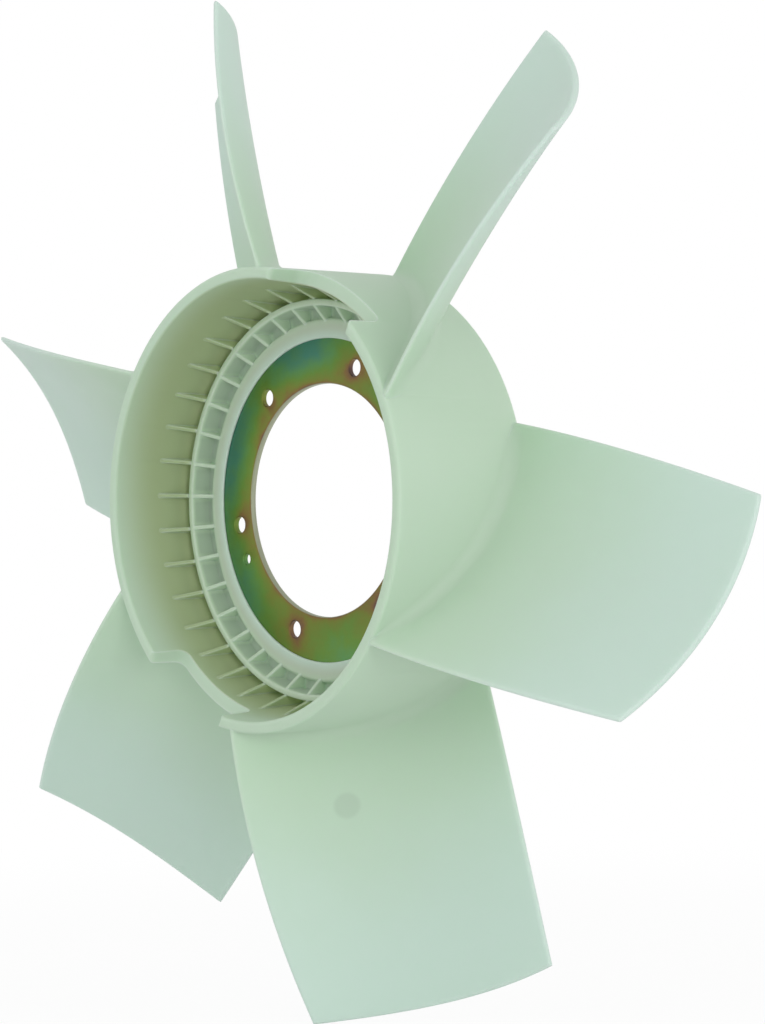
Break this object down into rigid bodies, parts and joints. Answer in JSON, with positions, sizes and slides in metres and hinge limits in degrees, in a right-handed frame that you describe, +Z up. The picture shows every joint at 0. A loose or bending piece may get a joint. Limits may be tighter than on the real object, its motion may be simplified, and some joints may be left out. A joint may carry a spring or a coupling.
{
  "type": "cooling fan",
  "caption": "Radiator cooling fan wheel: moulded nylon hub drum with twisted cambered blades and a bolted steel mounting ring.",
  "frame": {"origin": "on the spin axis, in the plane of the front face of the steel mounting ring", "axes": "+Y along the spin axis from the open front of the hub to its rear, +Z up as in the picture, +X to the right seen from the front"},
  "size_m": [0.6498, 0.1097, 0.6458],
  "materials": {
    "nylon": "natural pale green nylon, satin",
    "zinc_plated_steel": "zinc plated, yellow and green passivated"
  },
  "bodies": {
    "root": {"fan_moulding": "nylon", "insert_ring": "zinc_plated_steel"}
  },
  "joints": []
}
